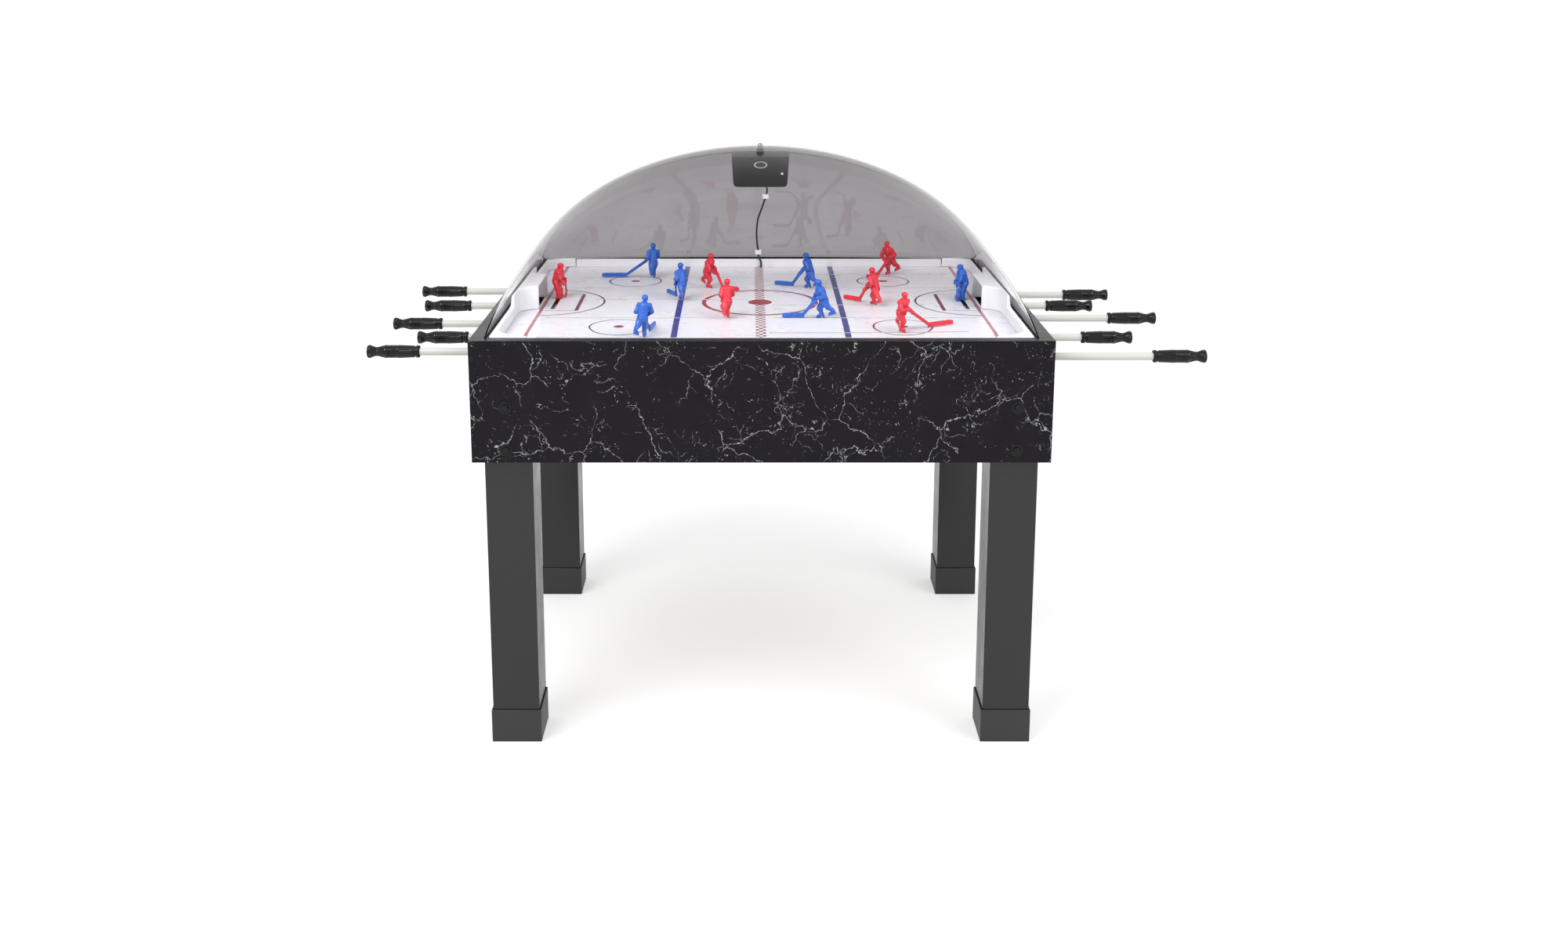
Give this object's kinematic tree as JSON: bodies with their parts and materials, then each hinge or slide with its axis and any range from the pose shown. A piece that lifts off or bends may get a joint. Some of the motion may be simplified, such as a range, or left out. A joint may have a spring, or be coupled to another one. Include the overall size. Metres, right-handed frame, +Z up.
{
  "type": "dome rod hockey table",
  "caption": "Free-standing rod hockey table under a clear dome: figures slide along slots and spin on geared rods with handles at both ends.",
  "frame": {"origin": "on the floor, midway between the four feet", "axes": "+X along the length towards the end with the blue goal, +Y from the front to the back, +Z up"},
  "size_m": [1.613, 0.825, 1.1138],
  "materials": {
    "marble_laminate": "gloss laminate with pale marble veins",
    "black_laminate": "satin black laminate",
    "bare_wood": "sawn softwood",
    "rink_laminate": "white printed laminate",
    "white_plastic": "moulded white",
    "black_plastic": "moulded black",
    "handle_plastic": "polished black",
    "black_steel": "black oxide",
    "clear_acrylic": "clear, lightly smoked",
    "nut_chrome": "plated",
    "cable_rubber": "matte",
    "carriage_steel": "zinc grey",
    "rod_enamel": "cream sleeve",
    "red_plastic": "moulded red",
    "blue_plastic": "moulded blue"
  },
  "bodies": {
    "table": {"aprons": "marble_laminate", "end_panels": "marble_laminate", "top_rails": "black_laminate", "cleats": "bare_wood", "playfield": "rink_laminate", "side_boards": "white_plastic", "end_boards": "white_plastic", "goal_cups": "black_plastic", "legs": "black_laminate", "leg_boots": "black_plastic", "leg_bolts": "black_steel", "apron_screws": "black_steel", "rod_bushings": "black_plastic", "dome": "clear_acrylic", "scoring_box": "black_plastic", "dome_nut": "nut_chrome", "score_cable": "cable_rubber", "cable_clips": "white_plastic"},
    "red_goalie": {"red_goalie": "red_plastic"},
    "blue_goalie": {"blue_goalie": "blue_plastic"},
    "red_front_wing_carriage": {"red_front_wing_carriage": "carriage_steel"},
    "red_front_wing_rod": {"red_front_wing_rod": "rod_enamel", "red_front_wing_handle": "handle_plastic"},
    "red_front_wing_player": {"red_front_wing_player": "red_plastic"},
    "red_front_defence_carriage": {"red_front_defence_carriage": "carriage_steel"},
    "red_front_defence_rod": {"red_front_defence_rod": "rod_enamel", "red_front_defence_handle": "handle_plastic"},
    "red_front_defence_player": {"red_front_defence_player": "red_plastic"},
    "red_centre_carriage": {"red_centre_carriage": "carriage_steel"},
    "red_centre_rod": {"red_centre_rod": "rod_enamel", "red_centre_handle": "handle_plastic"},
    "red_centre_player": {"red_centre_player": "red_plastic"},
    "red_back_defence_carriage": {"red_back_defence_carriage": "carriage_steel"},
    "red_back_defence_rod": {"red_back_defence_rod": "rod_enamel", "red_back_defence_handle": "handle_plastic"},
    "red_back_defence_player": {"red_back_defence_player": "red_plastic"},
    "red_back_wing_carriage": {"red_back_wing_carriage": "carriage_steel"},
    "red_back_wing_rod": {"red_back_wing_rod": "rod_enamel", "red_back_wing_handle": "handle_plastic"},
    "red_back_wing_player": {"red_back_wing_player": "red_plastic"},
    "blue_front_wing_carriage": {"blue_front_wing_carriage": "carriage_steel"},
    "blue_front_wing_rod": {"blue_front_wing_rod": "rod_enamel", "blue_front_wing_handle": "handle_plastic"},
    "blue_front_wing_player": {"blue_front_wing_player": "blue_plastic"},
    "blue_front_defence_carriage": {"blue_front_defence_carriage": "carriage_steel"},
    "blue_front_defence_rod": {"blue_front_defence_rod": "rod_enamel", "blue_front_defence_handle": "handle_plastic"},
    "blue_front_defence_player": {"blue_front_defence_player": "blue_plastic"},
    "blue_centre_carriage": {"blue_centre_carriage": "carriage_steel"},
    "blue_centre_rod": {"blue_centre_rod": "rod_enamel", "blue_centre_handle": "handle_plastic"},
    "blue_centre_player": {"blue_centre_player": "blue_plastic"},
    "blue_back_defence_carriage": {"blue_back_defence_carriage": "carriage_steel"},
    "blue_back_defence_rod": {"blue_back_defence_rod": "rod_enamel", "blue_back_defence_handle": "handle_plastic"},
    "blue_back_defence_player": {"blue_back_defence_player": "blue_plastic"},
    "blue_back_wing_carriage": {"blue_back_wing_carriage": "carriage_steel"},
    "blue_back_wing_rod": {"blue_back_wing_rod": "rod_enamel", "blue_back_wing_handle": "handle_plastic"},
    "blue_back_wing_player": {"blue_back_wing_player": "blue_plastic"}
  },
  "joints": [
    {"name": "red_goalie_slide", "type": "slide", "parent": "table", "child": "red_goalie", "axis": [0, 1, 0], "range_m": [-0.091, 0.009]},
    {"name": "blue_goalie_slide", "type": "slide", "parent": "table", "child": "blue_goalie", "axis": [0, 1, 0], "range_m": [-0.076, 0.024]},
    {"name": "red_front_wing_slide", "type": "slide", "parent": "table", "child": "red_front_wing_carriage", "axis": [1, 0, 0], "range_m": [-0.242, 0.095]},
    {"name": "red_front_wing_twist", "type": "hinge", "parent": "red_front_wing_carriage", "child": "red_front_wing_rod", "pos_m": [0.269, -0.254, 0.74], "axis": [1, 0, 0], "continuous": true},
    {"name": "red_front_wing_turn", "type": "hinge", "parent": "red_front_wing_carriage", "child": "red_front_wing_player", "pos_m": [0.269, -0.254, 0.74], "axis": [0, 0, 1], "continuous": true},
    {"name": "red_front_defence_slide", "type": "slide", "parent": "table", "child": "red_front_defence_carriage", "axis": [1, 0, 0], "range_m": [-0.32, 0.033]},
    {"name": "red_front_defence_twist", "type": "hinge", "parent": "red_front_defence_carriage", "child": "red_front_defence_rod", "pos_m": [-0.065, -0.142, 0.74], "axis": [1, 0, 0], "continuous": true},
    {"name": "red_front_defence_turn", "type": "hinge", "parent": "red_front_defence_carriage", "child": "red_front_defence_player", "pos_m": [-0.065, -0.142, 0.74], "axis": [0, 0, 1], "continuous": true},
    {"name": "red_centre_slide", "type": "slide", "parent": "table", "child": "red_centre_carriage", "axis": [1, 0, 0], "range_m": [-0.206, 0.102]},
    {"name": "red_centre_twist", "type": "hinge", "parent": "red_centre_carriage", "child": "red_centre_rod", "pos_m": [0.237, -0.025, 0.74], "axis": [1, 0, 0], "continuous": true},
    {"name": "red_centre_turn", "type": "hinge", "parent": "red_centre_carriage", "child": "red_centre_player", "pos_m": [0.237, -0.025, 0.74], "axis": [0, 0, 1], "continuous": true},
    {"name": "red_back_defence_slide", "type": "slide", "parent": "table", "child": "red_back_defence_carriage", "axis": [1, 0, 0], "range_m": [-0.273, 0.08]},
    {"name": "red_back_defence_twist", "type": "hinge", "parent": "red_back_defence_carriage", "child": "red_back_defence_rod", "pos_m": [-0.112, 0.142, 0.74], "axis": [1, 0, 0], "continuous": true},
    {"name": "red_back_defence_turn", "type": "hinge", "parent": "red_back_defence_carriage", "child": "red_back_defence_player", "pos_m": [-0.112, 0.142, 0.74], "axis": [0, 0, 1], "continuous": true},
    {"name": "red_back_wing_slide", "type": "slide", "parent": "table", "child": "red_back_wing_carriage", "axis": [1, 0, 0], "range_m": [-0.26, 0.12]},
    {"name": "red_back_wing_twist", "type": "hinge", "parent": "red_back_wing_carriage", "child": "red_back_wing_rod", "pos_m": [0.296, 0.29, 0.74], "axis": [1, 0, 0], "continuous": true},
    {"name": "red_back_wing_turn", "type": "hinge", "parent": "red_back_wing_carriage", "child": "red_back_wing_player", "pos_m": [0.296, 0.29, 0.74], "axis": [0, 0, 1], "continuous": true},
    {"name": "blue_front_wing_slide", "type": "slide", "parent": "table", "child": "blue_front_wing_carriage", "axis": [-1, 0, 0], "range_m": [-0.185, 0.195]},
    {"name": "blue_front_wing_twist", "type": "hinge", "parent": "blue_front_wing_carriage", "child": "blue_front_wing_rod", "pos_m": [-0.221, -0.29, 0.74], "axis": [1, 0, 0], "continuous": true},
    {"name": "blue_front_wing_turn", "type": "hinge", "parent": "blue_front_wing_carriage", "child": "blue_front_wing_player", "pos_m": [-0.221, -0.29, 0.74], "axis": [0, 0, 1], "continuous": true},
    {"name": "blue_front_defence_slide", "type": "slide", "parent": "table", "child": "blue_front_defence_carriage", "axis": [-1, 0, 0], "range_m": [-0.263, 0.09]},
    {"name": "blue_front_defence_twist", "type": "hinge", "parent": "blue_front_defence_carriage", "child": "blue_front_defence_rod", "pos_m": [0.122, -0.142, 0.74], "axis": [1, 0, 0], "continuous": true},
    {"name": "blue_front_defence_turn", "type": "hinge", "parent": "blue_front_defence_carriage", "child": "blue_front_defence_player", "pos_m": [0.122, -0.142, 0.74], "axis": [0, 0, 1], "continuous": true},
    {"name": "blue_centre_slide", "type": "slide", "parent": "table", "child": "blue_centre_carriage", "axis": [-1, 0, 0], "range_m": [-0.132, 0.176]},
    {"name": "blue_centre_twist", "type": "hinge", "parent": "blue_centre_carriage", "child": "blue_centre_rod", "pos_m": [-0.163, 0.025, 0.74], "axis": [1, 0, 0], "continuous": true},
    {"name": "blue_centre_turn", "type": "hinge", "parent": "blue_centre_carriage", "child": "blue_centre_player", "pos_m": [-0.163, 0.025, 0.74], "axis": [0, 0, 1], "continuous": true},
    {"name": "blue_back_defence_slide", "type": "slide", "parent": "table", "child": "blue_back_defence_carriage", "axis": [-1, 0, 0], "range_m": [-0.277, 0.076]},
    {"name": "blue_back_defence_twist", "type": "hinge", "parent": "blue_back_defence_carriage", "child": "blue_back_defence_rod", "pos_m": [0.108, 0.142, 0.74], "axis": [1, 0, 0], "continuous": true},
    {"name": "blue_back_defence_turn", "type": "hinge", "parent": "blue_back_defence_carriage", "child": "blue_back_defence_player", "pos_m": [0.108, 0.142, 0.74], "axis": [0, 0, 1], "continuous": true},
    {"name": "blue_back_wing_slide", "type": "slide", "parent": "table", "child": "blue_back_wing_carriage", "axis": [-1, 0, 0], "range_m": [-0.21, 0.127]},
    {"name": "blue_back_wing_twist", "type": "hinge", "parent": "blue_back_wing_carriage", "child": "blue_back_wing_rod", "pos_m": [-0.237, 0.254, 0.74], "axis": [1, 0, 0], "continuous": true},
    {"name": "blue_back_wing_turn", "type": "hinge", "parent": "blue_back_wing_carriage", "child": "blue_back_wing_player", "pos_m": [-0.237, 0.254, 0.74], "axis": [0, 0, 1], "continuous": true}
  ],
  "couplings": [
    {"joint": "red_front_wing_turn", "follows": "red_front_wing_twist", "ratio": 1},
    {"joint": "red_front_defence_turn", "follows": "red_front_defence_twist", "ratio": 1},
    {"joint": "red_centre_turn", "follows": "red_centre_twist", "ratio": 1},
    {"joint": "red_back_defence_turn", "follows": "red_back_defence_twist", "ratio": 1},
    {"joint": "red_back_wing_turn", "follows": "red_back_wing_twist", "ratio": 1},
    {"joint": "blue_front_wing_turn", "follows": "blue_front_wing_twist", "ratio": -1},
    {"joint": "blue_front_defence_turn", "follows": "blue_front_defence_twist", "ratio": -1},
    {"joint": "blue_centre_turn", "follows": "blue_centre_twist", "ratio": -1},
    {"joint": "blue_back_defence_turn", "follows": "blue_back_defence_twist", "ratio": -1},
    {"joint": "blue_back_wing_turn", "follows": "blue_back_wing_twist", "ratio": -1}
  ]
}
